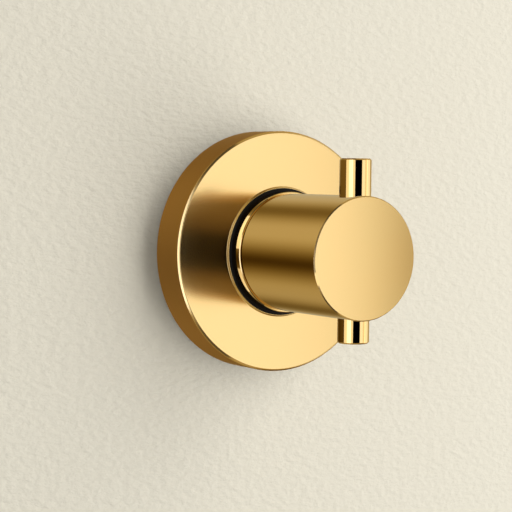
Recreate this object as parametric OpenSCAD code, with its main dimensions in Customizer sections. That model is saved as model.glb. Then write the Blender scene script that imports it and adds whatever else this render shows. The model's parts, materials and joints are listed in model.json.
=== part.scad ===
// Wall mounted diverter of a thermostatic shower set: gold trim in front of the
// wall, and the brass valve with its ceramic disc cartridge inside the wall.
// Every piece is drawn about the handle's axis, with z out of the finished wall,
// y up and z = 0 at the wall's surface. facing_out() turns it so that the handle
// points along -Y and +Z is up. The handle is drawn at its middle, closed place.

/* [Rosette] */
// Diameter of the rosette
rosette_d = 70; // [64:1:80]
// Height of the rosette's front face over the wall
rosette_t = 12; // [10:0.5:15]
// Thickness of the rosette's front plate
rosette_plate_t = 3; // [2:0.25:4]
// Width of the rim that stands on the wall
rosette_rim_w = 2.6; // [2.2:0.1:4]
// Width of the hub around the rosette's hole
rosette_hub_w = 3; // [2:0.25:4]
// Length of the hub, from the front face inwards
rosette_hub_len = 8; // [7:0.5:9]
// Bevel on the rosette's outer front edge
rosette_bevel = 0.55; // [0.3:0.05:1.5]
// Height of the lip round the rosette's hole
rosette_lip_h = 0.6; // [0.3:0.1:1]
// Width of the lip's sloping outside
rosette_lip_slope = 0.35; // [0.2:0.05:0.6]
// Width of the lip's flat top
rosette_lip_w = 0.15; // [0.1:0.05:0.3]
// Width of the gap between the sleeve and the rosette's hole
rosette_gap = 1; // [0.8:0.05:1.6]
// Width of the rubber ring in the rim's back
wall_seal_w = 1.2; // [0.8:0.1:1.4]
// Depth of the rubber ring in the rim's back
wall_seal_t = 1.2; // [0.8:0.1:2]
// How far the black ring stands in front of the rosette's face
black_ring_rise = 1.3; // [0.8:0.1:2]
// Height of the black ring's foot in its groove
black_ring_foot_h = 2.6; // [1.6:0.1:3]
// Depth of the black ring's groove in the hub
black_ring_foot_w = 0.9; // [0.6:0.1:1.4]

/* [Sleeve] */
// How far the sleeve shows in front of the rosette
sleeve_show = 4.4; // [3:0.1:6]
// How far the sleeve stands out beyond the handle's side
sleeve_step = 0.45; // [0.2:0.05:1]
// Wall of the sleeve
sleeve_wall = 1.25; // [1:0.05:1.6]
// Length of the sleeve over the valve's neck
sleeve_grip = 8; // [6:0.5:12]
// Length of the thin collar that centres the handle
collar_len = 7; // [5:0.5:9]
// Wall of the collar
collar_wall = 1; // [0.9:0.05:1.3]
// Thickness of the sleeve's front shoulder
sleeve_shoulder_t = 1.4; // [1:0.1:2]
// Length of the taper between the sleeve's back and its front part
sleeve_taper = 3; // [2.5:0.1:3.2]
// Width of the glide ring on the collar
glide_w = 2.2; // [1.6:0.1:3]
// Depth of the glide ring's groove
glide_depth = 0.4; // [0.3:0.05:0.6]

/* [Handle] */
// Diameter of the handle
handle_d = 34; // [32:0.5:38]
// Length of the handle
handle_len = 35.3; // [32:0.1:40]
// Running gap between the sleeve and the handle's back
handle_gap = 0.3; // [0.3:0.05:0.6]
// Bevel on the handle's front edge
handle_bevel = 0.3; // [0.1:0.05:1]
// Depth of the wide recess in the handle's back
handle_recess = 9.3; // [8.5:0.1:10.3]
// Gap between the collar and the handle's recess
collar_gap = 0.3; // [0.25:0.05:0.5]
// Diameter of the handle's bore for the spline adapter
adapter_bore_d = 14; // [13.5:0.25:15]

/* [Pin lever] */
// Diameter of the pin lever
pin_d = 8.75; // [7:0.25:9]
// Reach of the pin above the handle's axis
pin_up = 27.1; // [22:0.1:34]
// Reach of the pin below the handle's axis
pin_down = 23.3; // [20:0.1:34]
// Metal between the pin and the handle's front face
pin_cover = 0.6; // [0.6:0.05:2]
// Bevel on the pin's ends
pin_bevel = 0.4; // [0.2:0.1:1]
// Metal between the pin and the bottom of the handle's bore
pin_web = 4.8; // [4:0.1:6]

/* [Screws] */
// Diameter of the grub screw that locks the pin
pin_screw_d = 4; // [3:1:5]
// Diameter of the grub screw that locks the handle
handle_screw_d = 5; // [4:1:6]
// Depth of that screw's end below the handle's side
handle_screw_sink = 2.5; // [0.5:0.25:3.5]
// Diameter of the screw in the spindle's end
adapter_screw_d = 4; // [3:0.5:4]
// Length of that screw below its head
adapter_screw_len = 9; // [7:0.5:12]
// Diameter of that screw's head
adapter_head_d = 7; // [6:0.25:7.5]
// Height of that screw's head
adapter_head_h = 2.2; // [1.6:0.1:2.6]

/* [Spline adapter] */
// Length of the spline adapter
adapter_len = 11; // [10:0.5:11.5]
// Web between the spindle's end and the screw's head
adapter_web = 1.8; // [1.4:0.1:2.5]
// Depth of the flat that the handle's grub screw bears on
adapter_flat = 0.5; // [0.3:0.1:0.8]
// Number of spline teeth
spline_teeth = 20; // [16:1:24]
// Diameter over the spline's teeth
spline_d = 8; // [7:0.25:8.5]
// Height of a spline tooth
spline_tooth_h = 0.45; // [0.3:0.05:0.6]

/* [Spindle] */
// Diameter of the spindle where it turns in the housing
spindle_d = 12; // [11.5:0.25:13]
// Diameter of the spindle between the housing and the spline
spindle_waist_d = 9; // [8.75:0.25:10]
// Width of the housing's stops, outside the spindle's flange
stop_w = 1.8; // [1.4:0.1:2.2]
// Thickness of the flange
flange_t = 3; // [2.5:0.25:4]
// Width of the tongue below the flange
tongue_w = 4; // [3:0.25:5]
// Length of the tongue across the flange
tongue_len = 13; // [10:0.5:15]
// Depth of the tongue in the driver
tongue_h = 3; // [2:0.25:3.5]
// Turn of the handle to each side of its closed place
turn_each_way = 45; // [35:1:45]
// Half of the angle that the stop lug takes up
lug_half_angle = 12; // [8:1:15]
// Number of seal rings on the spindle
spindle_rings = 2; // [1:1:3]
// Height of the first of them over the nut's shoulder
spindle_ring_rise = 1.6; // [1.4:0.1:2]
// Distance between the spindle's seal rings
spindle_ring_pitch = 3.6; // [3:0.2:4.5]
// Depth of the grooves for the spindle's seal rings
spindle_ring_depth = 1.1; // [0.8:0.05:1.3]
// Plain length of the spindle at each end of its waist
spindle_land = 1; // [0.6:0.1:1.4]
// Thickness of the circlip
circlip_t = 0.9; // [0.7:0.1:1.2]
// Width of the circlip's band
circlip_w = 1.9; // [1.5:0.1:2.2]
// Depth of the circlip's groove
circlip_depth = 0.7; // [0.5:0.05:0.9]
// Half of the angle that the circlip leaves open
circlip_mouth = 32; // [26:1:40]

/* [Cartridge] */
// Wall of the housing around the discs
skirt_t = 1.3; // [1.1:0.05:1.6]
// Thickness of the housing's roof
roof_t = 3.5; // [3:0.25:4.5]
// How far the nose shows in front of the nut
nose_show = 5; // [3:0.5:7]
// Thickness of the slip washer
washer_t = 0.6; // [0.4:0.1:1]
// Thickness of the driver
driver_t = 5; // [4.5:0.25:6.5]
// Thickness of each ceramic disc
disc_t = 4; // [3.5:0.25:5]
// Web between two water holes
water_hole_web = 3; // [2.4:0.1:3.6]
// Metal or ceramic outside the water holes
water_hole_edge = 1.9; // [1.6:0.1:2.1]
// Depth of the channel under the moving disc
channel_depth = 2.2; // [1.5:0.1:2.8]
// Half of the angle that the channel spans
channel_half_angle = 55; // [50:1:58]
// Width of the driver's lugs
drive_lug_w = 3; // [2:0.25:4]
// Height of the driver's lugs
drive_lug_h = 2; // [1:0.25:2.5]
// Thickness of the cartridge's base
base_t = 6; // [5:0.25:8]
// Depth of the fixed disc's pocket in the base
base_pocket = 2.5; // [1.5:0.25:3]
// Thickness of the rubber seal under the base
base_seal_t = 1.4; // [1:0.1:2]
// Thickness of the seal ring round the housing
housing_ring_t = 1.5; // [1.2:0.1:1.8]

/* [Valve body] */
// Diameter of the neck that takes the cartridge and the sleeve
neck_d = 32.3; // [30:0.1:36]
// Depth of the cartridge's seat behind the wall's surface
seat_depth = 36; // [35:0.5:42]
// Distance from the seat to the ports' centre line
seat_to_ports = 12; // [10:0.5:16]
// Distance from the ports' centre line to the body's back
ports_to_back = 16; // [15:0.5:20]
// Wall of the neck round the nut's thread
neck_wall = 2.65; // [2.3:0.05:3]
// Length of the neck in front of the barrel
neck_len = 18; // [14:0.5:20]
// Diameter of the barrel
barrel_d = 38; // [37:0.5:42]
// Reach of the ports from the handle's axis
port_reach = 34; // [32:0.5:38]
// Diameter of the hole in a port, under its half inch pipe thread
port_hole_d = 18.631; // [18.631]
// Depth of the thread in a port
port_thread_len = 13; // [12:0.25:14]
// Width across the flats of a port's hexagon
port_hex_af = 27; // [26:0.5:30]
// Length of a port's hexagon
port_hex_len = 10; // [8:0.5:12]
// Bevel at a port's mouth
port_mouth_bevel = 1; // [0.5:0.1:1.2]
// Diameter of the waterways
waterway_d = 9; // [8:0.25:9.5]
// Distance between the handle's axis and the end of a waterway
waterway_stop = 6; // [5.75:0.25:6.5]
// Distance between the two fixing holes
fixing_spacing = 48; // [44:0.5:56]
// Height of the fixing holes over the handle's axis
fixing_height = 20; // [18:0.5:24]
// Diameter of the fixing holes
fixing_hole_d = 5.5; // [4.5:0.25:6]
// Diameter of the fixing lugs
fixing_lug_d = 14; // [12:0.5:16]
// Thickness of the fixing lugs
fixing_lug_t = 4; // [3:0.25:6]
// Size of the seal ring between the neck and the sleeve
neck_ring_t = 1; // [0.8:0.1:1.2]

/* [Nut] */
// Height of the nut's hexagon
nut_head_h = 6; // [5:0.5:6]
// How far the hexagon's corners lie inside the neck's outside
nut_corner_inset = 0.55; // [0.4:0.05:1]
// Width of the shoulder that the nut presses on
nut_shoulder_w = 1; // [0.8:0.05:1.3]
// Length of the nut's thread in the neck
nut_thread_len = 5; // [4:0.5:5]
// Wall of the nut between its thread and its bore
nut_wall = 3.65; // [3:0.05:4]

/* [Fits] */
// Gap of a part that slides or turns in another
slide_gap = 0.05; // [0.03:0.01:0.08]
// Gap round a part that is dropped into a pocket
pocket_gap = 0.1; // [0.05:0.01:0.2]
// Gap round a part that only passes through another
pass_gap = 0.3; // [0.2:0.05:0.4]
// Gap round the driver in the housing
driver_gap = 0.6; // [0.4:0.1:0.9]
// Gap round the moving disc in the housing
disc_gap = 0.9; // [0.6:0.1:1.1]
// Gap round the flat seal on the body's seat
base_seal_gap = 0.6; // [0.4:0.1:0.9]
// Angle left between the lug and its stop at the end of the turn
stop_gap_angle = 0.6; // [0.3:0.1:1]

/* [Hidden] */

gold = [0.86, 0.64, 0.33];
brass = [0.78, 0.62, 0.34];
steel = [0.62, 0.63, 0.65];
black = [0.07, 0.07, 0.07];
ceramic = [0.93, 0.92, 0.88];
nylon = [0.86, 0.86, 0.84];
grey = [0.35, 0.36, 0.38];

$fn = 96;
// How far a cutting shape runs past the face that it opens
over = 1;
// How far two shapes of one piece run into each other
overlap = 0.5;
// Bevel that only breaks an edge
small_edge = 0.2;

// Radii of the trim, from the handle outwards
handle_r = handle_d / 2;
sleeve_r = handle_r + sleeve_step;
rosette_r = rosette_d / 2;
rosette_hole_r = sleeve_r + rosette_gap;
adapter_bore_r = adapter_bore_d / 2;
handle_recess_r = sleeve_r - sleeve_wall;
collar_r = handle_recess_r - collar_gap;
pin_r = pin_d / 2;
pin_hole_r = pin_r + slide_gap;

// Radii inside the wall, each worked out from the piece around it
neck_r = neck_d / 2;
sleeve_bore_r = neck_r + slide_gap;
sleeve_back_r = sleeve_bore_r + sleeve_wall;
nut_thread_r = neck_r - neck_wall;
nut_corner_r = neck_r - nut_corner_inset;
chamber_r = nut_thread_r - nut_shoulder_w;
housing_r = chamber_r - pocket_gap;
skirt_bore_r = housing_r - skirt_t;
fixed_disc_r = skirt_bore_r - pocket_gap;
moving_disc_r = skirt_bore_r - disc_gap;
driver_r = skirt_bore_r - driver_gap;
nut_bore_r = nut_thread_r - slide_gap - nut_wall;
nose_r = nut_bore_r - pass_gap;
spindle_r = spindle_d / 2;
spindle_bore_r = spindle_r + slide_gap;
waist_r = spindle_waist_d / 2;
stop_ring_r = skirt_bore_r - stop_w;
flange_r = stop_ring_r - pass_gap;
lug_r = skirt_bore_r - pass_gap;
// The holes lie a quarter turn apart, with the edge outside them and a web between
water_hole_r = (sqrt(2) * (fixed_disc_r - water_hole_edge) - water_hole_web) / (2 + sqrt(2));
water_circle_r = fixed_disc_r - water_hole_edge - water_hole_r;
waterway_r = waterway_d / 2;
port_hole_r = port_hole_d / 2;

// Heights of the trim
sleeve_front = rosette_t + sleeve_show;
glide_z = sleeve_front + (collar_len - glide_w) / 2;
handle_back = sleeve_front + handle_gap;
handle_face = handle_back + handle_len;
pin_z = handle_face - pin_cover - pin_hole_r;
handle_bore_end = pin_z - pin_hole_r - pin_web;
handle_recess_end = handle_back + handle_recess;
adapter_front = handle_bore_end - pass_gap;
adapter_back = adapter_front - adapter_len;
head_seat = adapter_front - adapter_head_h - pass_gap;
spindle_end = head_seat - adapter_web;
handle_screw_z = (adapter_back + spindle_end) / 2;
handle_screw_seat = adapter_bore_r - slide_gap - adapter_flat;
handle_screw_len = handle_r - handle_screw_sink - handle_screw_seat;

// Groove round the rosette's hole, and the space of the black ring's foot
black_ring_top = rosette_t + black_ring_rise;
black_foot_z = rosette_t - rosette_hub_len / 2 - black_ring_foot_h / 2;
black_foot_r = rosette_hole_r + black_ring_foot_w;

// Heights in the cartridge, stacked from its seat towards the handle
seat_z = -seat_depth;
base_z = seat_z + base_seal_t;
base_top = base_z + base_t;
fixed_disc_z = base_top - base_pocket;
moving_disc_z = fixed_disc_z + disc_t;
driver_z = moving_disc_z + disc_t;
flange_z = driver_z + driver_t;
washer_z = flange_z + flange_t;
roof_z = washer_z + washer_t;
shoulder_z = roof_z + roof_t;
neck_end_z = shoulder_z + nut_thread_len;
sleeve_end_z = neck_end_z - sleeve_grip;
neck_ring_z = (neck_end_z + sleeve_end_z) / 2;
nut_front = neck_end_z + nut_head_h;
taper_z = nut_front + pass_gap;
nose_end = nut_front + nose_show;
circlip_z = nose_end + pass_gap;
waist_z = circlip_z + circlip_t + spindle_land;
spline_z = adapter_back - spindle_land;
spindle_ring_z = shoulder_z + spindle_ring_rise;

// Heights in the valve body
ports_z = seat_z - seat_to_ports;
back_z = ports_z - ports_to_back;
barrel_front = neck_end_z - neck_len;
PORT_TURNS = [180, 270, 0];

// Turns what is drawn with z out of the wall so that it faces along -Y
module facing_out() {
    rotate([90, 0, 0]) children();
}

// Ring or disc between two radii and two heights
module ring(r_out, r_in, z0, z1) {
    translate([0, 0, z0]) difference() {
        cylinder(r = r_out, h = z1 - z0);
        if (r_in > 0) translate([0, 0, -over]) cylinder(r = r_in, h = z1 - z0 + 2 * over);
    }
}

// Seal ring of round section that fills a groove from r_in to r_out
module seal_ring(r_in, r_out, z) {
    section_r = (r_out - r_in) / 2;
    translate([0, 0, z]) rotate_extrude() translate([r_in + section_r, 0])
        circle(r = section_r, $fn = 32);
}

// Hole for a hexagon key, open towards +z at z = 0
module key_socket(af, depth) {
    translate([0, 0, -depth]) cylinder(r = af / 2 / cos(30), h = depth + over, $fn = 6);
}

// Grub screw along +z from its point at z = 0 to its socket end
module grub_screw(d, len) {
    point_h = d / 5;
    point_r = 0.3 * d;
    end_edge = d / 10;
    key_af = d / 2;
    key_depth = len / 3;
    difference() {
        rotate_extrude() polygon([
            [0, 0], [point_r, 0], [d / 2, point_h],
            [d / 2, len - end_edge], [d / 2 - end_edge, len], [0, len]
        ]);
        translate([0, 0, len]) key_socket(key_af, key_depth);
    }
}

// Slice of a circle from -half to +half degrees about +x, out to r
module wedge(r, half) {
    far = r / cos(half / 2);
    polygon([
        [0, 0],
        for (i = [-2:2]) far * [cos(i * half / 2), sin(i * half / 2)]
    ]);
}

// Places of a spline tooth's four corners, as shares of the teeth's pitch
TOOTH_CORNERS = [-0.34, -0.16, 0.16, 0.34];

// Outline of a toothed shaft: straight sided teeth between two radii
function spline_outline(tip_r, root_r, teeth) = [
    for (i = [0:teeth - 1], corner = [0:3])
        let (
            a = (i + TOOTH_CORNERS[corner]) * 360 / teeth,
            r = (corner == 0 || corner == 3) ? root_r : tip_r
        ) r * [cos(a), sin(a)]
];

// The three water holes, which every part between seat and discs shares
module water_holes(z0, z1) {
    for (a = PORT_TURNS) rotate([0, 0, a]) translate([water_circle_r, 0, z0])
        cylinder(r = water_hole_r, h = z1 - z0, $fn = 48);
}

// Turned plate with a deep rim, and a hub and a small lip round its hole
module rosette() {
    color(gold) facing_out() rotate_extrude($fn = 180) rosette_section();
}

module rosette_section() {
    hub_r = rosette_hole_r + rosette_hub_w;
    rim_r = rosette_r - rosette_rim_w;
    plate_z = rosette_t - rosette_plate_t;
    hub_z = rosette_t - rosette_hub_len;
    lip_r = rosette_hole_r + rosette_lip_w;
    lip_z = rosette_t + rosette_lip_h;
    seal_r = rim_r + (rosette_rim_w - wall_seal_w) / 2;
    foot_top = black_foot_z + black_ring_foot_h;
    polygon([
        [rosette_r, 0], [rosette_r, rosette_t - rosette_bevel],
        [rosette_r - rosette_bevel, rosette_t],
        [lip_r + rosette_lip_slope, rosette_t], [lip_r, lip_z], [rosette_hole_r, lip_z],
        [rosette_hole_r, foot_top], [black_foot_r, foot_top],
        [black_foot_r, black_foot_z], [rosette_hole_r, black_foot_z],
        [rosette_hole_r, hub_z], [hub_r, hub_z],
        [hub_r, plate_z], [rim_r, plate_z], [rim_r, 0],
        [seal_r, 0], [seal_r, wall_seal_t],
        [seal_r + wall_seal_w, wall_seal_t], [seal_r + wall_seal_w, 0]
    ]);
}

// Rubber ring that grips the sleeve and holds the rosette against the wall
module black_ring() {
    lip_out = rosette_hole_r - slide_gap;
    foot_out = black_foot_r - slide_gap;
    foot_z = black_foot_z + slide_gap;
    foot_top = black_foot_z + black_ring_foot_h - slide_gap;
    lip_in = sleeve_r + slide_gap;
    color(black) facing_out() rotate_extrude() polygon([
        [lip_in, foot_z], [foot_out, foot_z], [foot_out, foot_top],
        [lip_out, foot_top], [lip_out, black_ring_top - small_edge],
        [lip_out - small_edge, black_ring_top], [lip_in, black_ring_top]
    ]);
}

// Rubber ring let into the back of the rim
module wall_seal() {
    seal_r = rosette_r - rosette_rim_w + (rosette_rim_w - wall_seal_w) / 2;
    color(black) facing_out()
        ring(seal_r + wall_seal_w - slide_gap, seal_r + slide_gap, 0, wall_seal_t);
}

// Polished tube between rosette and handle, with a collar that the handle turns on
module sleeve() {
    collar_bore = collar_r - collar_wall;
    collar_end = sleeve_front + collar_len;
    color(gold) facing_out() rotate_extrude($fn = 180) polygon([
        [sleeve_bore_r, sleeve_end_z], [sleeve_back_r - small_edge, sleeve_end_z],
        [sleeve_back_r, sleeve_end_z + small_edge], [sleeve_back_r, taper_z],
        [sleeve_r, taper_z + sleeve_taper], [sleeve_r, sleeve_front - small_edge],
        [sleeve_r - small_edge, sleeve_front], [collar_r, sleeve_front],
        [collar_r, glide_z], [collar_r - glide_depth, glide_z],
        [collar_r - glide_depth, glide_z + glide_w], [collar_r, glide_z + glide_w],
        [collar_r, collar_end - small_edge], [collar_r - small_edge, collar_end],
        [collar_bore, collar_end], [collar_bore, sleeve_front - sleeve_shoulder_t],
        [handle_recess_r, sleeve_front - sleeve_shoulder_t],
        [handle_recess_r, taper_z + sleeve_taper], [sleeve_bore_r, taper_z]
    ]);
}

// Slippery ring in the collar's groove, on which the handle turns
module glide_ring() {
    color(nylon) facing_out() ring(handle_recess_r - slide_gap,
        collar_r - glide_depth + slide_gap, glide_z + slide_gap, glide_z + glide_w - slide_gap);
}

// Seal ring in the neck's groove, on which the sleeve is pushed
module neck_ring() {
    color(black) facing_out()
        seal_ring(neck_r - neck_ring_t + slide_gap, sleeve_bore_r, neck_ring_z);
}

// Turned handle, bored from the back, with a cross hole for the pin lever
module handle() {
    screw_bore_r = handle_screw_d / 2 + slide_gap;
    color(gold) facing_out() difference() {
        rotate_extrude($fn = 180) polygon([
            [0, handle_bore_end], [adapter_bore_r, handle_bore_end],
            [adapter_bore_r, handle_recess_end], [handle_recess_r, handle_recess_end],
            [handle_recess_r, handle_back], [handle_r - small_edge, handle_back],
            [handle_r, handle_back + small_edge], [handle_r, handle_face - handle_bevel],
            [handle_r - handle_bevel, handle_face], [0, handle_face]
        ]);
        translate([0, 0, pin_z]) rotate([90, 0, 0])
            cylinder(r = pin_hole_r, h = handle_d + 2 * over, center = true);
        translate([0, 0, handle_bore_end - over])
            cylinder(r = pin_screw_d / 2 + slide_gap, h = pin_z - handle_bore_end + over);
        translate([0, 0, handle_screw_z]) rotate([90, 0, 0])
            cylinder(r = screw_bore_r, h = handle_r + over);
    }
}

// Round cross pin that works as the lever
module pin_lever() {
    color(gold) facing_out() translate([0, pin_up, pin_z]) rotate([90, 0, 0])
        rotate_extrude() polygon([
            [0, 0], [pin_r - pin_bevel, 0], [pin_r, pin_bevel],
            [pin_r, pin_up + pin_down - pin_bevel],
            [pin_r - pin_bevel, pin_up + pin_down], [0, pin_up + pin_down]
        ]);
}

// Grub screw along the handle's axis: it bears on the pin
module pin_grub_screw() {
    len = pin_web - pass_gap;
    color(steel) facing_out() translate([0, 0, pin_z - pin_r])
        rotate([180, 0, 0]) grub_screw(pin_screw_d, len);
}

// Grub screw under the handle: it bears on the adapter's flat
module handle_grub_screw() {
    color(steel) facing_out() translate([0, -handle_screw_seat, handle_screw_z])
        rotate([90, 0, 0]) grub_screw(handle_screw_d, handle_screw_len);
}

// Bush that carries the handle on the spindle's spline
module spline_adapter() {
    r = adapter_bore_r - slide_gap;
    tip_r = spline_d / 2 + slide_gap;
    color(nylon) facing_out() difference() {
        ring(r, 0, adapter_back, adapter_front);
        translate([0, 0, adapter_back - over])
            linear_extrude(spindle_end - adapter_back + over)
                polygon(spline_outline(tip_r, tip_r - spline_tooth_h, spline_teeth));
        translate([0, 0, spindle_end - over])
            cylinder(r = adapter_screw_d / 2 + pocket_gap, h = adapter_web + 2 * over);
        translate([0, 0, head_seat])
            cylinder(r = adapter_head_d / 2 + pocket_gap, h = adapter_front - head_seat + over);
        translate([-r, -r - over, adapter_back - over])
            cube([2 * r, adapter_flat + over, adapter_len + 2 * over]);
    }
}

// Screw that holds the adapter on the spindle
module adapter_screw() {
    key_af = 0.36 * adapter_head_d;
    key_depth = 0.6 * adapter_head_h;
    head_edge = 0.4;
    color(steel) facing_out() difference() {
        union() {
            translate([0, 0, head_seat]) rotate_extrude() polygon([
                [0, 0], [adapter_head_d / 2, 0], [adapter_head_d / 2, adapter_head_h - head_edge],
                [adapter_head_d / 2 - head_edge, adapter_head_h], [0, adapter_head_h]
            ]);
            translate([0, 0, head_seat - adapter_screw_len])
                cylinder(r = adapter_screw_d / 2 - slide_gap, h = adapter_screw_len + over);
        }
        translate([0, 0, head_seat + adapter_head_h]) key_socket(key_af, key_depth);
    }
}

// Turned spindle: tongue, flange with stop lug, sealed shaft, waist and spline
module spindle() {
    groove_w = spindle_ring_depth + 2 * pocket_gap;
    groove_r = spindle_r - spindle_ring_depth;
    color(brass) facing_out() difference() {
        union() {
            ring(flange_r, 0, flange_z, washer_z);
            stop_lug();
            ring(spindle_r, 0, washer_z - overlap, waist_z);
            ring(waist_r, 0, waist_z - overlap, spline_z);
            translate([0, 0, spline_z - overlap]) linear_extrude(spindle_end - spline_z + overlap)
                polygon(spline_outline(spline_d / 2, spline_d / 2 - spline_tooth_h, spline_teeth));
            tongue(0, flange_z + overlap);
        }
        for (i = [0:spindle_rings - 1])
            translate([0, 0, spindle_ring_z + i * spindle_ring_pitch - groove_w / 2])
                ring(spindle_r + over, groove_r, 0, groove_w);
        ring(spindle_r + over, spindle_r - circlip_depth, circlip_z, circlip_z + circlip_t);
        translate([0, 0, spindle_end - adapter_screw_len])
            cylinder(r = adapter_screw_d / 2, h = adapter_screw_len + over);
    }
}

// Cross tongue that turns the driver, grown by gap on its long sides
module tongue(gap, top) {
    translate([-tongue_len / 2 - gap, -tongue_w / 2 - gap, flange_z - tongue_h - gap])
        cube([tongue_len + 2 * gap, tongue_w + 2 * gap, top - flange_z + tongue_h + gap]);
}

// Lug on the flange that meets the housing's stops
module stop_lug() {
    translate([0, 0, flange_z]) linear_extrude(flange_t) intersection() {
        circle(r = lug_r);
        rotate(90) wedge(lug_r, lug_half_angle);
    }
}

// Two seal rings in the spindle's grooves
module spindle_rings() {
    color(black) facing_out() for (i = [0:spindle_rings - 1])
        seal_ring(spindle_r - spindle_ring_depth, spindle_r + slide_gap / 2,
            spindle_ring_z + i * spindle_ring_pitch);
}

// Open clip in the spindle's groove, in front of the housing's nose
module circlip() {
    in_r = spindle_r - circlip_depth + slide_gap;
    out_r = in_r + circlip_w;
    eye_r = 0.62 * circlip_w;
    eye_hole_r = 0.45 * eye_r;
    color(steel) facing_out()
        translate([0, 0, circlip_z + slide_gap]) linear_extrude(circlip_t - 2 * slide_gap)
            difference() {
                union() {
                    difference() {
                        circle(r = out_r);
                        rotate(-90) wedge(out_r + over, circlip_mouth);
                    }
                    for (a = [-1, 1]) rotate(-90 + a * circlip_mouth) translate([in_r + eye_r, 0])
                        circle(r = eye_r, $fn = 32);
                }
                circle(r = in_r);
                for (a = [-1, 1]) rotate(-90 + a * circlip_mouth) translate([in_r + eye_r, 0])
                    circle(r = eye_hole_r, $fn = 24);
            }
}

// Housing of the cartridge: skirt round the discs, stops, roof and nose
module housing() {
    groove_z = (roof_z + shoulder_z) / 2;
    groove_w = housing_ring_t + 2 * pocket_gap;
    stop_half = turn_each_way + lug_half_angle + stop_gap_angle;
    color(brass) facing_out() difference() {
        union() {
            ring(housing_r, 0, base_top, shoulder_z);
            ring(nose_r, 0, shoulder_z - overlap, nose_end);
        }
        translate([0, 0, base_top - over]) cylinder(r = skirt_bore_r, h = flange_z - base_top + over);
        translate([0, 0, flange_z - over]) cylinder(r = stop_ring_r, h = roof_z - flange_z + over);
        translate([0, 0, flange_z - over]) linear_extrude(washer_z - flange_z + over)
            intersection() {
                circle(r = skirt_bore_r);
                rotate(90) wedge(skirt_bore_r, stop_half);
            }
        translate([0, 0, roof_z - over]) cylinder(r = spindle_bore_r, h = nose_end - roof_z + 2 * over);
        translate([0, 0, groove_z - groove_w / 2])
            ring(housing_r + over, chamber_r - housing_ring_t, 0, groove_w);
    }
}

// Seal ring between the housing and the valve body
module housing_ring() {
    color(black) facing_out() seal_ring(chamber_r - housing_ring_t + slide_gap,
        chamber_r - slide_gap, (roof_z + shoulder_z) / 2);
}

// Thin washer on which the spindle's flange slips
module slip_washer() {
    color(nylon) facing_out()
        ring(flange_r, spindle_r + pocket_gap, washer_z, washer_z + washer_t);
}

// Plastic driver between the spindle's tongue and the moving disc
module driver() {
    color(grey) facing_out() difference() {
        union() {
            ring(driver_r, 0, driver_z, driver_z + driver_t);
            drive_lugs(0);
        }
        tongue(pocket_gap, driver_z + driver_t + over);
    }
}

// Two lugs at the driver's rim, grown by gap for the disc's notches
module drive_lugs(gap) {
    for (a = [0, 180]) rotate([0, 0, a]) intersection() {
        translate([moving_disc_r - drive_lug_w, -drive_lug_w / 2 - gap, driver_z - drive_lug_h - gap])
            cube([drive_lug_w + gap, drive_lug_w + 2 * gap, drive_lug_h + gap + overlap]);
        ring(moving_disc_r + gap, 0, driver_z - disc_t, driver_z + driver_t);
    }
}

// Ceramic disc that turns: its curved channel joins the inlet to one outlet
module moving_disc() {
    color(ceramic) facing_out() difference() {
        ring(moving_disc_r, 0, moving_disc_z, moving_disc_z + disc_t);
        water_channel();
        for (a = [0, 180]) rotate([0, 0, a])
            translate([moving_disc_r - drive_lug_w - pocket_gap, -drive_lug_w / 2 - pocket_gap,
                driver_z - drive_lug_h - pocket_gap])
                cube([drive_lug_w + over, drive_lug_w + 2 * pocket_gap, drive_lug_h + over]);
    }
}

// Curved pocket with round ends, over the inlet hole at rest
module water_channel() {
    end_angle = channel_half_angle - asin(water_hole_r / water_circle_r);
    translate([0, 0, moving_disc_z - over]) linear_extrude(channel_depth + over) union() {
        intersection() {
            difference() {
                circle(r = water_circle_r + water_hole_r);
                circle(r = water_circle_r - water_hole_r);
            }
            rotate(-90) wedge(water_circle_r + water_hole_r + over, end_angle);
        }
        for (a = [-1, 1]) rotate(-90 + a * end_angle) translate([water_circle_r, 0])
            circle(r = water_hole_r, $fn = 48);
    }
}

// Ceramic disc that stays: one inlet hole and two outlet holes
module fixed_disc() {
    color(ceramic) facing_out() difference() {
        ring(fixed_disc_r, 0, fixed_disc_z, fixed_disc_z + disc_t);
        water_holes(fixed_disc_z - over, fixed_disc_z + disc_t + over);
    }
}

// Base that closes the cartridge and holds the fixed disc
module cartridge_base() {
    color(grey) facing_out() difference() {
        ring(housing_r - pocket_gap, 0, base_z, base_top);
        translate([0, 0, fixed_disc_z])
            cylinder(r = skirt_bore_r, h = base_top - fixed_disc_z + over);
        water_holes(base_z - over, fixed_disc_z + over);
    }
}

// Flat rubber seal between the base and the body's seat
module base_seal() {
    color(black) facing_out() difference() {
        ring(chamber_r - base_seal_gap, 0, seat_z, base_z);
        water_holes(seat_z - over, base_z + over);
    }
}

// Gland nut that presses the cartridge onto its seat
module retaining_nut() {
    thread_r = nut_thread_r - slide_gap;
    crown_bevel = 1;
    color(brass) facing_out() difference() {
        union() {
            ring(thread_r, 0, shoulder_z, neck_end_z + overlap);
            intersection() {
                translate([0, 0, neck_end_z]) cylinder(r = nut_corner_r, h = nut_head_h, $fn = 6);
                translate([0, 0, neck_end_z]) rotate_extrude() polygon([
                    [0, 0], [nut_corner_r, 0], [nut_corner_r, nut_head_h - crown_bevel],
                    [nut_corner_r - 2 * crown_bevel, nut_head_h], [0, nut_head_h]
                ]);
            }
        }
        translate([0, 0, shoulder_z - over])
            cylinder(r = nut_bore_r, h = nut_front - shoulder_z + 2 * over);
    }
}

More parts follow.
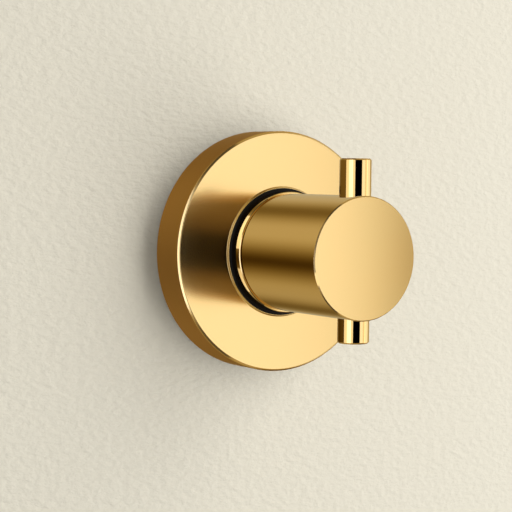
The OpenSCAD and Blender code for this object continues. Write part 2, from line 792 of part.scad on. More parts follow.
// Cast valve body: barrel, threaded neck, three ports and two fixing lugs
module valve_body() {
    color(brass) facing_out() difference() {
        union() {
            barrel();
            for (a = PORT_TURNS) port_boss(a);
            for (side = [-1, 1]) fixing_lug(side);
        }
        cartridge_chamber();
        water_holes(ports_z, seat_z + over);
        for (a = PORT_TURNS) port_hole(a);
        for (side = [-1, 1]) translate([side * fixing_spacing / 2, fixing_height, back_z - over])
            cylinder(r = fixing_hole_d / 2, h = fixing_lug_t + 2 * over, $fn = 48);
    }
}

// Barrel and neck in one turned form, with the sleeve's seal groove
module barrel() {
    barrel_r = barrel_d / 2;
    edge = 1.5;
    mouth_edge = 0.8;
    groove_half = neck_ring_t / 2 + pocket_gap;
    rotate_extrude() polygon([
        [0, back_z], [barrel_r - edge, back_z], [barrel_r, back_z + edge],
        [barrel_r, barrel_front - edge], [barrel_r - edge, barrel_front],
        [neck_r, barrel_front],
        [neck_r, neck_ring_z - groove_half], [neck_r - neck_ring_t, neck_ring_z - groove_half],
        [neck_r - neck_ring_t, neck_ring_z + groove_half], [neck_r, neck_ring_z + groove_half],
        [neck_r, neck_end_z - mouth_edge], [neck_r - mouth_edge, neck_end_z], [0, neck_end_z]
    ]);
}

// Bore for the cartridge, wider where the nut's thread runs
module cartridge_chamber() {
    translate([0, 0, seat_z]) cylinder(r = chamber_r, h = neck_end_z - seat_z + over);
    translate([0, 0, shoulder_z]) cylinder(r = nut_thread_r, h = neck_end_z - shoulder_z + over);
}

// Port that leaves the barrel at the given turn about the handle's axis
module port_boss(turn) {
    hex_r = port_hex_af / 2 / cos(30);
    boss_r = port_hex_af / 2;
    crown_back_r = hex_r + 1;
    crown_front_r = boss_r + 0.4;
    translate([0, 0, ports_z]) rotate([0, 0, turn]) rotate([0, 90, 0]) {
        cylinder(r = boss_r, h = port_reach - port_hex_len + overlap);
        intersection() {
            translate([0, 0, port_reach - port_hex_len]) rotate([0, 0, 30])
                cylinder(r = hex_r, h = port_hex_len, $fn = 6);
            translate([0, 0, port_reach - port_hex_len])
                cylinder(r1 = crown_back_r, r2 = crown_front_r, h = port_hex_len);
        }
    }
}

// Threaded hole, mouth bevel and waterway of one port
module port_hole(turn) {
    thread_end = port_reach - port_mouth_bevel - port_thread_len;
    mouth_z = port_reach - port_mouth_bevel;
    translate([0, 0, ports_z]) rotate([0, 0, turn]) rotate([0, 90, 0]) {
        translate([0, 0, waterway_stop]) cylinder(r = waterway_r, h = port_reach - waterway_stop);
        translate([0, 0, thread_end]) cylinder(r = port_hole_r, h = port_reach - thread_end + over);
        translate([0, 0, mouth_z])
            cylinder(r1 = port_hole_r, r2 = port_hole_r + 2 * port_mouth_bevel,
                h = 2 * port_mouth_bevel);
    }
}

// Lug with a screw hole, joined to the barrel by a bar
module fixing_lug(side) {
    reach = norm([fixing_spacing / 2, fixing_height]);
    lug_turn = atan2(fixing_height, side * fixing_spacing / 2);
    translate([0, 0, back_z]) rotate([0, 0, lug_turn]) {
        translate([reach, 0, 0]) cylinder(r = fixing_lug_d / 2, h = fixing_lug_t);
        translate([0, -fixing_lug_d / 2, 0]) cube([reach, fixing_lug_d, fixing_lug_t]);
    }
}

rosette();
black_ring();
wall_seal();
sleeve();
glide_ring();
neck_ring();
valve_body();
retaining_nut();
housing();
housing_ring();
slip_washer();
cartridge_base();
base_seal();
fixed_disc();
handle();
pin_lever();
pin_grub_screw();
handle_grub_screw();
spline_adapter();
adapter_screw();
spindle();
spindle_rings();
circlip();
driver();
moving_disc();
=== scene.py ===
"""Looks of the wall mounted diverter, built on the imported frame.

The row frame is in metres: the finished wall is the plane y = 0, the handle points
along -Y and +Z is up. Turned pieces are drawn as profiles of (radius, out, fillet),
in millimetres, where out is the distance in front of the wall.
"""

import json
import math

import bmesh
import bpy
from mathutils import Matrix, Vector


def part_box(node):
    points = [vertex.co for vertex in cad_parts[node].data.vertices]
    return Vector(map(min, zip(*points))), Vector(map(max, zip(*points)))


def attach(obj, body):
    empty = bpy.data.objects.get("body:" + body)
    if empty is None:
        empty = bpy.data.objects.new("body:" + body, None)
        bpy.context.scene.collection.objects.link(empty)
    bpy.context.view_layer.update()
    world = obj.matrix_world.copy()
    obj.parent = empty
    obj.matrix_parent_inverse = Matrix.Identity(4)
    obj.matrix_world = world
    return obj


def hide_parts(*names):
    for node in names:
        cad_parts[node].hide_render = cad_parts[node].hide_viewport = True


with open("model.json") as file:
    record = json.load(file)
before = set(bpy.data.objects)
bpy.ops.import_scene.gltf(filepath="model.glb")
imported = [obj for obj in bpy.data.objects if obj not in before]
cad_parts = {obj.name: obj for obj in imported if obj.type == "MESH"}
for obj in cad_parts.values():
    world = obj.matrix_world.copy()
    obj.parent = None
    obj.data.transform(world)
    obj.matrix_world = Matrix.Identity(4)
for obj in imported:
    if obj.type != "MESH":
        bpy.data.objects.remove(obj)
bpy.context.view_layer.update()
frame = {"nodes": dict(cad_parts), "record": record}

MM = 0.001


def top_of(node):
    """Largest distance of a node in front of the wall, in millimetres."""
    return -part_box(node)[0].y / MM


def back_of(node):
    """Smallest distance of a node in front of the wall, in millimetres."""
    return -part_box(node)[1].y / MM


def radius_of(node):
    """Half of a node's width, in millimetres."""
    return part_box(node)[1].x / MM


# Camera of the photograph, fitted to the traced edges of the rosette and the handle
CAMERA_PLACE = (-0.2561, -0.3850, 0.0238)
CAMERA_YAW = 0.5852
CAMERA_PITCH = -0.0556
CAMERA_ROLL = 0.0109
PHOTO_WIDTH_PX = 512
FOCAL_PX = 1555.1
SENSOR_MM = 36


def camera():
    """Camera at the photograph's place, with its forward, right and up turned by the roll."""
    level = math.cos(CAMERA_PITCH)
    forward = Vector((math.sin(CAMERA_YAW) * level, math.cos(CAMERA_YAW) * level, math.sin(CAMERA_PITCH)))
    right = Vector((math.cos(CAMERA_YAW), -math.sin(CAMERA_YAW), 0))
    up = right.cross(forward)
    turn = Matrix.Rotation(-CAMERA_ROLL, 3, forward)
    data = bpy.data.cameras.new("camera")
    data.sensor_fit = "HORIZONTAL"
    data.sensor_width = SENSOR_MM
    data.lens = SENSOR_MM * FOCAL_PX / PHOTO_WIDTH_PX
    data.clip_start = 0.01
    obj = bpy.data.objects.new("camera", data)
    axes = Matrix((turn @ right, turn @ up, -forward)).transposed()
    obj.matrix_world = Matrix.Translation(CAMERA_PLACE) @ axes.to_4x4()
    bpy.context.scene.collection.objects.link(obj)
    bpy.context.scene.camera = obj


# Node helpers for the materials and the world


class Nodes:
    """Short names for making nodes in one tree."""

    def __init__(self, tree):
        self.tree = tree

    def add(self, kind, **values):
        node = self.tree.nodes.new(kind)
        for name, value in values.items():
            setattr(node, name, value)
        return node

    def link(self, source, target):
        self.tree.links.new(source, target)

    def feed(self, socket, value):
        """Links a socket to another node's output, or sets its own value."""
        if isinstance(value, bpy.types.NodeSocket):
            self.link(value, socket)
        else:
            socket.default_value = value

    def math(self, operation, a, b=0.0, clamp=False):
        node = self.add("ShaderNodeMath", operation=operation, use_clamp=clamp)
        self.feed(node.inputs[0], a)
        self.feed(node.inputs[1], b)
        return node.outputs[0]

    def ramp(self, value, low, high, out_low=0.0, out_high=1.0):
        """Smooth step of a value from low to high."""
        node = self.add("ShaderNodeMapRange", interpolation_type="SMOOTHSTEP")
        for socket, number in zip(node.inputs, (value, low, high, out_low, out_high)):
            self.feed(socket, number)
        return node.outputs[0]

    def band(self, value, low, high, soft):
        """1 between low and high, 0 outside, with edges of a soft width."""
        rise = self.ramp(value, low - soft / 2, low + soft / 2)
        fall = self.ramp(value, high - soft / 2, high + soft / 2, 1.0, 0.0)
        return self.math("MULTIPLY", rise, fall)

    def mix(self, factor, a, b):
        node = self.add("ShaderNodeMix", data_type="RGBA")
        self.feed(node.inputs["Factor"], factor)
        self.feed(node.inputs[6], (*a, 1.0) if isinstance(a, tuple) else a)
        self.feed(node.inputs[7], (*b, 1.0) if isinstance(b, tuple) else b)
        return node.outputs[2]

    def deepened(self, level):
        """Light of a level that has been mirrored between gold surfaces: the dimmer, the browner."""
        node = self.add("ShaderNodeCombineColor")
        self.feed(node.inputs[0], level)
        self.feed(node.inputs[1], self.math("POWER", level, 1.2))
        self.feed(node.inputs[2], self.math("POWER", level, 1.85))
        return node.outputs[0]

    def place(self, scale=(1, 1, 1)):
        """Place on the object, in metres, stretched by scale."""
        coords = self.add("ShaderNodeTexCoord").outputs["Object"]
        mapping = self.add("ShaderNodeMapping")
        mapping.inputs["Scale"].default_value = scale
        self.link(coords, mapping.inputs["Vector"])
        return mapping.outputs["Vector"]

    def noise(self, scale, detail=2.0, place=None):
        node = self.add("ShaderNodeTexNoise")
        node.inputs["Scale"].default_value = scale
        node.inputs["Detail"].default_value = detail
        self.link(place or self.place(), node.inputs["Vector"])
        return node.outputs["Fac"]

    def bump(self, height, strength, distance, normal=None):
        node = self.add("ShaderNodeBump")
        node.inputs["Strength"].default_value = strength
        node.inputs["Distance"].default_value = distance
        self.link(height, node.inputs["Height"])
        if normal:
            self.link(normal, node.inputs["Normal"])
        return node.outputs["Normal"]


def new_material(name):
    """Material with a principled shader, and the helper for its tree."""
    material = bpy.data.materials.new(name)
    material.use_nodes = True
    nodes = Nodes(material.node_tree)
    return material, nodes, material.node_tree.nodes["Principled BSDF"]


def turned_lines(nodes, axis, pitch):
    """Fine lines that a turning tool leaves about the Y or Z axis through the origin."""
    split = nodes.add("ShaderNodeSeparateXYZ")
    nodes.link(nodes.place(), split.inputs[0])
    x, y, z = split.outputs
    across, along = (z, y) if axis == "Y" else (y, z)
    square = nodes.math("ADD", nodes.math("MULTIPLY", x, x), nodes.math("MULTIPLY", across, across))
    turn_place = nodes.add("ShaderNodeCombineXYZ")
    nodes.link(nodes.math("SQRT", square), turn_place.inputs[0])
    nodes.link(along, turn_place.inputs[1])
    return nodes.noise(1 / pitch, 3.0, turn_place.outputs[0])


def gold(name, roughness, grain, dull=(0.985, 0.665, 0.262), bright=(0.975, 0.690, 0.285)):
    """Gold plated brass: an even metal with a faint cloudiness and very fine turning lines."""
    material, nodes, shader = new_material(name)
    cloud = nodes.noise(60.0, 3.0)
    lines = turned_lines(nodes, "Y", 0.12 * MM)
    shader.inputs["Metallic"].default_value = 1.0
    nodes.link(nodes.mix(cloud, dull, bright), shader.inputs["Base Color"])
    spread = nodes.math("MULTIPLY_ADD", cloud, grain)
    spread.node.inputs[2].default_value = roughness - grain / 2
    nodes.link(spread, shader.inputs["Roughness"])
    nodes.link(nodes.bump(lines, 0.05, 0.01 * MM), shader.inputs["Normal"])
    return material


def cast_brass():
    """Brass with the fine grain of a blasted casting and a cloudy change of tone."""
    material, nodes, shader = new_material("cast_brass")
    grain = nodes.noise(2600.0, 3.0)
    cloud = nodes.noise(90.0, 4.0)
    shader.inputs["Metallic"].default_value = 1.0
    nodes.link(nodes.mix(cloud, (0.56, 0.40, 0.17), (0.70, 0.53, 0.26)), shader.inputs["Base Color"])
    nodes.link(nodes.ramp(grain, 0.3, 0.7, 0.40, 0.56), shader.inputs["Roughness"])
    nodes.link(nodes.bump(grain, 0.5, 0.08 * MM), shader.inputs["Normal"])
    return material


def turned_metal(name, dull, bright, roughness, pitch):
    """Bare turned metal with visible tool lines."""
    material, nodes, shader = new_material(name)
    cloud = nodes.noise(140.0, 3.0)
    lines = turned_lines(nodes, "Y", pitch)
    shader.inputs["Metallic"].default_value = 1.0
    nodes.link(nodes.mix(cloud, dull, bright), shader.inputs["Base Color"])
    nodes.link(nodes.ramp(lines, 0.3, 0.7, roughness, roughness + 0.1), shader.inputs["Roughness"])
    nodes.link(nodes.bump(lines, 0.25, 0.02 * MM), shader.inputs["Normal"])
    return material


def dull_solid(name, dark, light, roughness, grain_size, depth, specular=0.5):
    """Rubber, plastic or ceramic: a fine grain and slight changes of colour."""
    material, nodes, shader = new_material(name)
    cloud = nodes.noise(180.0, 3.0)
    grain = nodes.noise(1 / grain_size, 2.0)
    shader.inputs["Specular IOR Level"].default_value = specular
    nodes.link(nodes.mix(cloud, dark, light), shader.inputs["Base Color"])
    nodes.link(nodes.ramp(grain, 0.3, 0.7, roughness - 0.05, roughness + 0.05), shader.inputs["Roughness"])
    nodes.link(nodes.bump(grain, 0.3, depth), shader.inputs["Normal"])
    return material


MATERIALS = {
    "satin_gold": gold("satin_gold", 0.13, 0.02),
    "plate_gold": gold("plate_gold", 0.15, 0.02),
    # Painted shade: the rim's darker brown gold stands in for the shadowed wall that the rim mirrors.
    "rim_painted_shade_gold": gold("rim_painted_shade_gold", 0.60, 0.05, (0.60, 0.32, 0.07), (0.61, 0.33, 0.075)),
    "polished_gold": gold("polished_gold", 0.06, 0.02),
    "cast_brass": cast_brass(),
    "turned_brass": turned_metal("turned_brass", (0.72, 0.53, 0.24), (0.80, 0.61, 0.30), 0.22, 0.25 * MM),
    "screw_steel": turned_metal("screw_steel", (0.50, 0.50, 0.51), (0.60, 0.60, 0.61), 0.28, 0.15 * MM),
    "black_rubber": dull_solid("black_rubber", (0.004, 0.003, 0.002), (0.008, 0.006, 0.005), 0.5, 0.3 * MM, 0.02 * MM, 0.15),
    "grey_plastic": dull_solid("grey_plastic", (0.10, 0.11, 0.12), (0.13, 0.14, 0.15), 0.45, 0.3 * MM, 0.01 * MM),
    "nylon": dull_solid("nylon", (0.74, 0.73, 0.70), (0.80, 0.79, 0.76), 0.42, 0.3 * MM, 0.01 * MM),
    "disc_ceramic": dull_solid("disc_ceramic", (0.84, 0.83, 0.79), (0.88, 0.87, 0.84), 0.2, 0.2 * MM, 0.004 * MM),
}


def dress_nodes():
    """Gives every CAD node the material of its slot."""
    for part in frame["record"]["subparts"]:
        obj = frame["nodes"][part["node"]]
        obj.data.materials.clear()
        obj.data.materials.append(MATERIALS[part["material_slot"]])


# Turned pieces

TURN_STEPS = 256
FILLET_STEPS = 5
SUPPORT_MM = 0.06


def filleted(corners, closed):
    """Profile points of (radius, out) with each corner's fillet as an arc, and a support point beside each arc."""
    points = []
    count = len(corners)
    for i, (radius, out, fillet) in enumerate(corners):
        here = Vector((radius, out))
        end = not closed and i in (0, count - 1)
        if end or fillet == 0:
            points.append(here)
            continue
        before = Vector(corners[i - 1][:2]) - here
        after = Vector(corners[(i + 1) % count][:2]) - here
        half = before.angle(after) / 2
        reach = fillet / math.tan(half)
        centre = here + (before.normalized() + after.normalized()).normalized() * fillet / math.sin(half)
        start = here + before.normalized() * reach - centre
        stop = here + after.normalized() * reach - centre
        sweep = start.angle_signed(stop)
        if before.length > reach + 2 * SUPPORT_MM:
            points.append(here + before.normalized() * (reach + SUPPORT_MM))
        for k in range(FILLET_STEPS + 1):
            points.append(centre + Matrix.Rotation(-sweep * k / FILLET_STEPS, 2) @ start)
        if after.length > reach + 2 * SUPPORT_MM:
            points.append(here + after.normalized() * (reach + SUPPORT_MM))
    return points


def turned(name, corners, closed=True, steps=TURN_STEPS):
    """Mesh turned about the handle's axis from a profile. An open profile starts and ends on the axis."""
    points = filleted(corners, closed)
    mesh = bpy.data.meshes.new(name)
    build = bmesh.new()
    rows = []
    for radius, out in points:
        if radius < 1e-6:
            rows.append([build.verts.new((0, -out * MM, 0))])
            continue
        angles = [2 * math.pi * k / steps for k in range(steps)]
        rows.append([
            build.verts.new((radius * MM * math.cos(a), -out * MM, radius * MM * math.sin(a))) for a in angles
        ])
    pairs = list(zip(rows, rows[1:] + rows[:1])) if closed else list(zip(rows, rows[1:]))
    for low, high in pairs:
        for k in range(steps):
            n = (k + 1) % steps
            corner_list = [low[k % len(low)], low[n % len(low)], high[n % len(high)], high[k % len(high)]]
            build.faces.new(list(dict.fromkeys(corner_list)))
    bmesh.ops.recalc_face_normals(build, faces=build.faces)
    build.to_mesh(mesh)
    build.free()
    mesh.shade_smooth()
    obj = bpy.data.objects.new(name, mesh)
    bpy.context.scene.collection.objects.link(obj)
    return obj


def finish_piece(obj, body, slot, *nodes):
    """Gives a piece its material and body, and hides the nodes that it stands for."""
    obj.data.materials.append(MATERIALS[slot])
    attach(obj, body)
    if nodes:
        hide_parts(*nodes)
    return obj


def shade(obj, angle=30.0):
    """Smooth shading with sharp edges above an angle in degrees."""
    obj.data.shade_smooth()
    obj.data.set_sharp_from_angle(angle=math.radians(angle))


# Sizes that the trim's profiles share, all in millimetres
ROSETTE_PLATE = 3.0
ROSETTE_RIM = 2.6
ROSETTE_HUB = 3.0
ROSETTE_HUB_LEN = 8.0
ROSETTE_BEVEL = 0.55
LIP_H = 0.6
LIP_SLOPE = 0.35
LIP_W = 0.15
HOLE_GAP = 1.0
RING_FOOT = 0.9
RING_FOOT_H = 2.6
SEAL_W = 1.2
# Depth of the band at the rim's outer edge that takes the painted shade
RIM_SHADE_DEPTH = 0.5


def rosette():
    """Turned cover plate with a bevelled edge, a deep rim whose side takes painted shade, and a small lip round
    its hole.
    """
    r, lip, back = radius_of("rosette"), top_of("rosette"), back_of("rosette")
    front = lip - LIP_H
    hole = radius_of("sleeve") + HOLE_GAP
    rim, hub = r - ROSETTE_RIM, hole + ROSETTE_HUB
    plate, hub_end = front - ROSETTE_PLATE, front - ROSETTE_HUB_LEN
    foot_mid = front - ROSETTE_HUB_LEN / 2
    foot_low, foot_high = foot_mid - RING_FOOT_H / 2, foot_mid + RING_FOOT_H / 2
    seal = r - (ROSETTE_RIM + SEAL_W) / 2
    obj = turned("rosette_plate", [
        (r, back, 0.15), (r, front - ROSETTE_BEVEL, 0.3), (r - ROSETTE_BEVEL, front, 0.25),
        (hole + LIP_W + LIP_SLOPE, front, 0.1), (hole + LIP_W, lip, 0.06), (hole, lip, 0.06),
        (hole, foot_high, 0), (hole + RING_FOOT, foot_high, 0), (hole + RING_FOOT, foot_low, 0),
        (hole, foot_low, 0), (hole, hub_end, 0.2), (hub, hub_end, 0.2), (hub, plate, 1.0),
        (rim, plate, 1.0), (rim, back, 0.15), (seal, back, 0), (seal, back + SEAL_W, 0),
        (seal + SEAL_W, back + SEAL_W, 0), (seal + SEAL_W, back, 0),
    ])
    shade(obj)
    finish_piece(obj, "valve", "satin_gold", "rosette")
    obj.data.materials[0] = MATERIALS["plate_gold"]
    # The rim's side takes the darker gold, a painted shade for the shadowed wall that it mirrors.
    obj.data.materials.append(MATERIALS["rim_painted_shade_gold"])
    edge = (r - RIM_SHADE_DEPTH) * MM
    for face in obj.data.polygons:
        if math.hypot(face.center.x, face.center.z) > edge and abs(face.normal.y) < 0.3:
            face.material_index = 1
    return obj


def pin_lever():
    """Polished cross pin with bevelled ends, turned about its own upright axis."""
    low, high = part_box("pin_lever")
    r = (high.x - low.x) / 2 / MM
    length = (high.z - low.z) / MM
    obj = turned("pin_bar", [
        (0, 0, 0), (r - PIN_BEVEL, 0, 0.12), (r, PIN_BEVEL, 0.12),
        (r, length - PIN_BEVEL, 0.12), (r - PIN_BEVEL, length, 0.12), (0, length, 0),
    ], closed=False, steps=128)
    stand = Matrix.Translation(((low.x + high.x) / 2, (low.y + high.y) / 2, low.z))
    obj.data.transform(stand @ Matrix.Rotation(-math.pi / 2, 4, "X"))
    shade(obj)
    return finish_piece(obj, "handle", "polished_gold", "pin_lever")


PIN_BEVEL = 0.4


# Valve body
PORT_AXIS_TO_BACK = 16.0
THREAD_PITCH = 1.814
THREAD_MAJOR_R = 10.478
THREAD_MINOR_R = 9.3155
THREAD_DEPTH = 13.0
THREAD_START = 1.2
THREAD_BACKING = 0.3
THREAD_STEPS = 96
THREAD_SHARES = (0.0, 0.06, 0.44, 0.56, 0.94)
CAST_VOXEL = 0.6
CAST_SMOOTH_STEPS = 5


def port_frames():
    """Placement of each port, with Z out of its mouth and the origin in its face."""
    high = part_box("valve_body")[1]
    reach = high.x
    across = high.y - PORT_AXIS_TO_BACK * MM
    for turn in (-90, 90, 180):
        way = Matrix.Rotation(math.radians(turn), 4, "Y")
        yield Matrix.Translation((0, across, 0)) @ way @ Matrix.Translation((0, 0, reach))


def valve_casting():
    """Casting with the rounded edges of its mould, and its ports bored to the thread's outer diameter."""
    source = frame["nodes"]["valve_body"]
    obj = bpy.data.objects.new("valve_casting", source.data.copy())
    obj.matrix_world = source.matrix_world
    bpy.context.scene.collection.objects.link(obj)
    cutters = []
    for i, place in enumerate(port_frames()):
        build = bmesh.new()
        radius = (THREAD_MAJOR_R + THREAD_BACKING / 2) * MM
        middle = place @ Matrix.Translation((0, 0, -(THREAD_DEPTH - 1) * MM / 2))
        bmesh.ops.create_cone(
            build, cap_ends=True, segments=96, radius1=radius, radius2=radius,
            depth=(THREAD_DEPTH + 1) * MM, matrix=middle,
        )
        mesh = bpy.data.meshes.new("port_cutter")
        build.to_mesh(mesh)
        build.free()
        cutter = bpy.data.objects.new("port_cutter_%d" % i, mesh)
        bpy.context.scene.collection.objects.link(cutter)
        cut = obj.modifiers.new("port_%d" % i, "BOOLEAN")
        cut.object = cutter
        cut.operation = "DIFFERENCE"
        cutters.append(cutter)
    remesh = obj.modifiers.new("mould", "REMESH")
    remesh.mode = "VOXEL"
    remesh.voxel_size = CAST_VOXEL * MM
    smooth = obj.modifiers.new("edges", "SMOOTH")
    smooth.factor = 0.5
    smooth.iterations = CAST_SMOOTH_STEPS
    bpy.context.view_layer.update()
    depsgraph = bpy.context.evaluated_depsgraph_get()
    mesh = bpy.data.meshes.new_from_object(obj.evaluated_get(depsgraph))
    obj.modifiers.clear()
    obj.data = mesh
    mesh.name = "valve_casting"
    mesh.materials.clear()
    mesh.shade_smooth()
    for cutter in cutters:
        bpy.data.objects.remove(cutter)
    return finish_piece(obj, "valve", "cast_brass", "valve_body")


def port_threads():
    """Pipe thread in each port, as one helical bar between its two diameters."""
    turns = (THREAD_DEPTH - THREAD_START) / THREAD_PITCH - 1
    rows = round(turns * THREAD_STEPS)
    radii = (THREAD_MAJOR_R, THREAD_MAJOR_R, THREAD_MINOR_R, THREAD_MINOR_R, THREAD_MAJOR_R)
    outer = THREAD_MAJOR_R + THREAD_BACKING
    section = [(share * THREAD_PITCH, r) for share, r in zip(THREAD_SHARES, radii)]
    section += [(THREAD_PITCH, THREAD_MAJOR_R), (THREAD_PITCH, outer), (0.0, outer)]
    for i, place in enumerate(port_frames()):
        build = bmesh.new()
        loops = []
        for k in range(rows + 1):
            angle = 2 * math.pi * k / THREAD_STEPS
            start = THREAD_START + THREAD_PITCH * k / THREAD_STEPS
            loops.append([
                build.verts.new(
                    place @ Vector((r * MM * math.cos(angle), r * MM * math.sin(angle), -(start + along) * MM))
                )
                for along, r in section
            ])
        for low, high in zip(loops, loops[1:]):
            for j in range(len(section)):
                n = (j + 1) % len(section)
                build.faces.new((low[j], low[n], high[n], high[j]))
        build.faces.new(loops[0])
        build.faces.new(list(reversed(loops[-1])))
        bmesh.ops.recalc_face_normals(build, faces=build.faces)
        mesh = bpy.data.meshes.new("port_thread")
        build.to_mesh(mesh)
        build.free()
        obj = bpy.data.objects.new("port_thread_%d" % (i + 1), mesh)
        bpy.context.scene.collection.objects.link(obj)
        shade(obj)
        finish_piece(obj, "valve", "turned_brass")


# Stage: a plain wall panel on a pale floor
WALL_T = 0.002
WALL_HALF_W = 0.17
WALL_LOW = -0.15
WALL_HIGH = 0.15
FLOOR_HALF = 3.0


def plaster():
    """Pale wall paint over a fine plaster relief."""
    material, nodes, shader = new_material("plaster")
    fine = nodes.noise(620.0, 4.0, nodes.place((0.55, 1, 1)))
    broad = nodes.noise(9.0, 2.0)
    nodes.link(nodes.mix(broad, (0.845, 0.790, 0.650), (0.865, 0.820, 0.685)), shader.inputs["Base Color"])
    shader.inputs["Roughness"].default_value = 0.85
    nodes.link(nodes.bump(fine, 0.8, 0.65 * MM), shader.inputs["Normal"])
    return material


def pale_floor():
    """Plain pale floor with a faint grain."""
    material, nodes, shader = new_material("pale_floor")
    grain = nodes.noise(40.0, 4.0)
    nodes.link(nodes.mix(grain, (0.80, 0.78, 0.73), (0.82, 0.80, 0.75)), shader.inputs["Base Color"])
    shader.inputs["Roughness"].default_value = 0.7
    return material


def add_stage(name, build, material):
    """Turns a bmesh into a stage object, which the metal doesn't mirror."""
    mesh = bpy.data.meshes.new(name)
    build.to_mesh(mesh)
    build.free()
    obj = bpy.data.objects.new(name, mesh)
    bpy.context.scene.collection.objects.link(obj)
    obj.data.materials.append(material)
    obj.visible_glossy = False
    return obj


def stage_wall():
    """Plain panel whose front is the finished wall."""
    build = bmesh.new()
    bmesh.ops.create_cube(build, size=1)
    size = Vector((2 * WALL_HALF_W, WALL_T, WALL_HIGH - WALL_LOW))
    bmesh.ops.scale(build, verts=build.verts, vec=size)
    bmesh.ops.translate(build, verts=build.verts, vec=(0, WALL_T / 2, (WALL_HIGH + WALL_LOW) / 2))
    add_stage("wall_panel", build, plaster())


def stage_floor():
    """Wide plain floor under the panel."""
    build = bmesh.new()
    bmesh.ops.create_grid(build, x_segments=4, y_segments=4, size=FLOOR_HALF)
    bmesh.ops.translate(build, verts=build.verts, vec=(0, 0, WALL_LOW))
    return add_stage("floor", build, pale_floor())


# What the metal mirrors, by direction. Azimuth 0 is straight in front of the wall, + to the
# right, and height is the angle above the horizon. Round is the angle about the handle's
# axis behind the wall, 0 at the left.
DARK_AZIMUTHS = (-55.0, 12.0)
DARK_EDGE = 2.5
DARK_MIDDLE = -9.0
DARK_ABOVE = 84.0
DARK_BELOW = 46.0
DARK_CEILING = (42.0, 56.0)
DARK_SINK = 0.13
DARK_TINT = (1.0, 0.90, 0.70)
SOFT_BOX_AZIMUTHS = (12.0, 38.7)
SOFT_BOX_HEIGHT = 18.0
SOFT_BOX_LIGHT = 0.95
SOFT_BOX_EDGE = 3.2
RIGHT_AZIMUTHS = (54.0, 92.0)
LEFT_AZIMUTHS = (-83.0, -55.0)
SIDE_HEIGHT = 44.0
SIDE_EDGE = 8.0
SIDE_LIGHT = 0.9
LEFT_GAIN = 1.4
ROOM_MIDDLE = 4.0
ROOM_HEIGHTS = (6.0, 60.0)
ROOM_LIGHT = 0.20
ROOM_HIGH_LIGHT = 0.42
DARK_END_LIGHT = 0.10
BACK_MIDDLE = -16.0
BACK_BAND = (26.0, 92.0)
BACK_BAND_EDGE = 54.0
BACK_BAND_HEIGHTS = (-30.0, 20.0)
BACK_BAND_LIGHT = (0.37, 0.45)
BACK_RIGHT = (95.0, 150.0)
BACK_RIGHT_LIGHT = 0.50
BACK_LIGHT = 0.05
BACKDROP = (0.86, 0.84, 0.79)


def studio():
    """World of a studio: soft boxes and a dark room for the metal, and a plain pale backdrop."""
    world = bpy.data.worlds.new("studio")
    world.use_nodes = True
    bpy.context.scene.world = world
    world.cycles_visibility.diffuse = False
    nodes = Nodes(world.node_tree)
    split = nodes.add("ShaderNodeSeparateXYZ")
    nodes.link(nodes.add("ShaderNodeTexCoord").outputs["Generated"], split.inputs[0])
    x, y, z = split.outputs
    azimuth = nodes.math("DEGREES", nodes.math("ARCTAN2", x, nodes.math("MULTIPLY", y, -1.0)))
    height = nodes.math("DEGREES", nodes.math("ARCSINE", z))
    off_middle = nodes.math("ABSOLUTE", nodes.math("SUBTRACT", height, ROOM_MIDDLE))
    room = nodes.ramp(off_middle, *ROOM_HEIGHTS, ROOM_LIGHT, ROOM_HIGH_LIGHT)
    above = nodes.ramp(height, DARK_MIDDLE, DARK_MIDDLE + DARK_ABOVE)
    below = nodes.ramp(height, DARK_MIDDLE - DARK_BELOW, DARK_MIDDLE, 1.0, 0.0)
    ends = nodes.ramp(nodes.math("ABSOLUTE", height), *DARK_CEILING, ROOM_HIGH_LIGHT, DARK_END_LIGHT)
    lit = nodes.math("SUBTRACT", nodes.math("ADD", above, below), DARK_SINK, clamp=True)
    dark_room = nodes.math("MULTIPLY", lit, ends)
    dark = nodes.band(azimuth, *DARK_AZIMUTHS, DARK_EDGE)
    box_height = nodes.band(height, -SOFT_BOX_HEIGHT, SOFT_BOX_HEIGHT, SOFT_BOX_HEIGHT)
    soft_box = nodes.math("MULTIPLY", nodes.band(azimuth, *SOFT_BOX_AZIMUTHS, SOFT_BOX_EDGE), box_height)
    side_height = nodes.band(height, -SIDE_HEIGHT, SIDE_HEIGHT, SIDE_EDGE)
    left = nodes.band(azimuth, *LEFT_AZIMUTHS, DARK_EDGE)
    right = nodes.band(azimuth, *RIGHT_AZIMUTHS, DARK_EDGE)
    sides = nodes.math("MULTIPLY", nodes.math("ADD", nodes.math("MULTIPLY", left, LEFT_GAIN), right), side_height)
    front = nodes.math("ADD", room, nodes.math("MULTIPLY", soft_box, SOFT_BOX_LIGHT))
    front = nodes.math("ADD", front, nodes.math("MULTIPLY", sides, SIDE_LIGHT))
    front = nodes.mix(dark, nodes.deepened(front), nodes.mix(dark_room, (0.0, 0.0, 0.0), DARK_TINT))
    round_angle = nodes.math("DEGREES", nodes.math("ARCTAN2", z, nodes.math("MULTIPLY", x, -1.0)))
    aside = nodes.math("ABSOLUTE", nodes.math("SUBTRACT", round_angle, BACK_MIDDLE))
    band_light = nodes.ramp(height, *BACK_BAND_HEIGHTS, *BACK_BAND_LIGHT)
    bands = nodes.math("MULTIPLY", nodes.band(aside, *BACK_BAND, BACK_BAND_EDGE), band_light)
    far = nodes.ramp(aside, *BACK_RIGHT, BACK_LIGHT, BACK_RIGHT_LIGHT)
    back = nodes.deepened(nodes.math("ADD", bands, far))
    light = nodes.mix(nodes.ramp(y, -0.03, 0.03), front, back)
    background = world.node_tree.nodes["Background"]
    background.inputs["Strength"].default_value = 1.0
    seen = nodes.add("ShaderNodeLightPath").outputs["Is Camera Ray"]
    nodes.link(nodes.mix(seen, light, BACKDROP), background.inputs["Color"])


def toward(azimuth, height):
    """Direction of an azimuth and a height, in degrees."""
    a, e = math.radians(azimuth), math.radians(height)
    return Vector((math.sin(a) * math.cos(e), -math.cos(a) * math.cos(e), math.sin(e)))


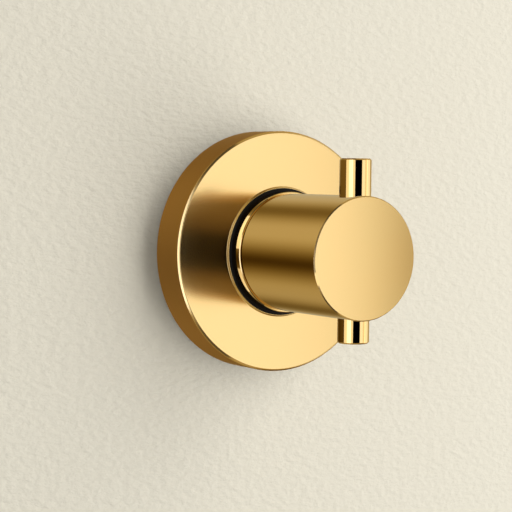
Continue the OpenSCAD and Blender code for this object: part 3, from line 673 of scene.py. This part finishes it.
def area_light(name, place, across, size, radiance):
    """Oblong soft light at a place, facing the origin, with its width along a direction."""
    width, tall = size
    data = bpy.data.lights.new(name, "AREA")
    data.shape = "RECTANGLE"
    data.size = width
    data.size_y = tall
    data.energy = radiance * width * tall * math.pi
    obj = bpy.data.objects.new(name, data)
    out = place.normalized()
    side = (across - out * across.dot(out)).normalized()
    axes = Matrix((side, out.cross(side), out)).transposed()
    obj.matrix_world = Matrix.Translation(place) @ axes.to_4x4()
    obj.visible_camera = False
    bpy.context.scene.collection.objects.link(obj)
    return obj


def only_for(light, *pieces):
    """Lets only some pieces take or mirror a light."""
    group = bpy.data.collections.new(light.name + "_receivers")
    for piece in pieces:
        group.objects.link(piece)
    light.light_linking.receiver_collection = group


def wall_light(name, place, size, radiance):
    """Soft light for what isn't metal. The metal doesn't mirror it."""
    obj = area_light(name, place, Vector((1, 0, 0)), size, radiance)
    obj.visible_glossy = False
    return obj


def strip_light(name, start, end, width, radiance, *pieces):
    """Light that some pieces mirror, from one direction to another."""
    middle = (start + end) / 2
    obj = area_light(name, middle, end - start, ((end - start).length, width), radiance)
    only_for(obj, *pieces)


def side_mirrored(angle):
    """Direction that the camera sees mirrored in a round side, an angle above its left."""
    a = math.radians(angle)
    normal = Vector((-math.cos(a), 0, math.sin(a)))
    view = toward(180 - math.degrees(CAMERA_YAW), 0)
    return view - normal * 2 * view.dot(normal)


camera()
dress_nodes()
plate = rosette()
pin = pin_lever()
sleeve = frame["nodes"]["sleeve"]
handle = frame["nodes"]["handle"]
valve_casting()
port_threads()
for piece in (plate, pin, frame["nodes"]["wall_seal"]):
    piece.visible_glossy = False
plate.visible_diffuse = False
stage_wall()
floor = stage_floor()
floor.visible_diffuse = False
floor.visible_shadow = False
studio()
wall_light("key", toward(34.0, 5.0) * 1.2, (0.84, 2.6), 3.3)
wall_light("dome", toward(0.0, 0.0) * 0.9, (3.2, 3.2), 0.20)
wall_light("back", toward(180.0, 10.0) * 0.9, (3.2, 3.2), 1.3)
only_for(wall_light("floor_light", Vector((0, 0, 1.5)), (12.0, 12.0), 0.75), floor)
strip_light("pin_left", toward(-56.0, 0.0), toward(-37.0, 0.0), 1.1, 1.05, pin)
strip_light("pin_far_left", toward(-103.0, 0.0), toward(-80.0, 0.0), 1.1, 0.95, pin)
strip_light("pin_right", toward(38.0, 0.0), toward(56.0, 0.0), 1.1, 0.8, pin)
strip_light("sleeve_high", side_mirrored(1.5), side_mirrored(36.0), 0.5, 0.85, sleeve)
strip_light("sleeve_low", side_mirrored(-43.0), side_mirrored(-17.0), 0.5, 0.6, sleeve)
strip_light("front_box", toward(-10.0, 2.0), toward(10.0, 2.0), 0.5, 0.62, plate, handle)
strip_light("front_left", toward(-14.0, 2.0), toward(-1.0, 2.0), 0.5, 0.38, plate, handle)
strip_light("rim_box", toward(90.0, -24.0), toward(90.0, 24.0), 0.3, 3.5, plate)
strip_light("low_box", toward(-56.0, -27.0), toward(-40.0, -27.0), 0.3, 0.95, plate, handle)
bpy.context.scene.view_settings.view_transform = "Standard"
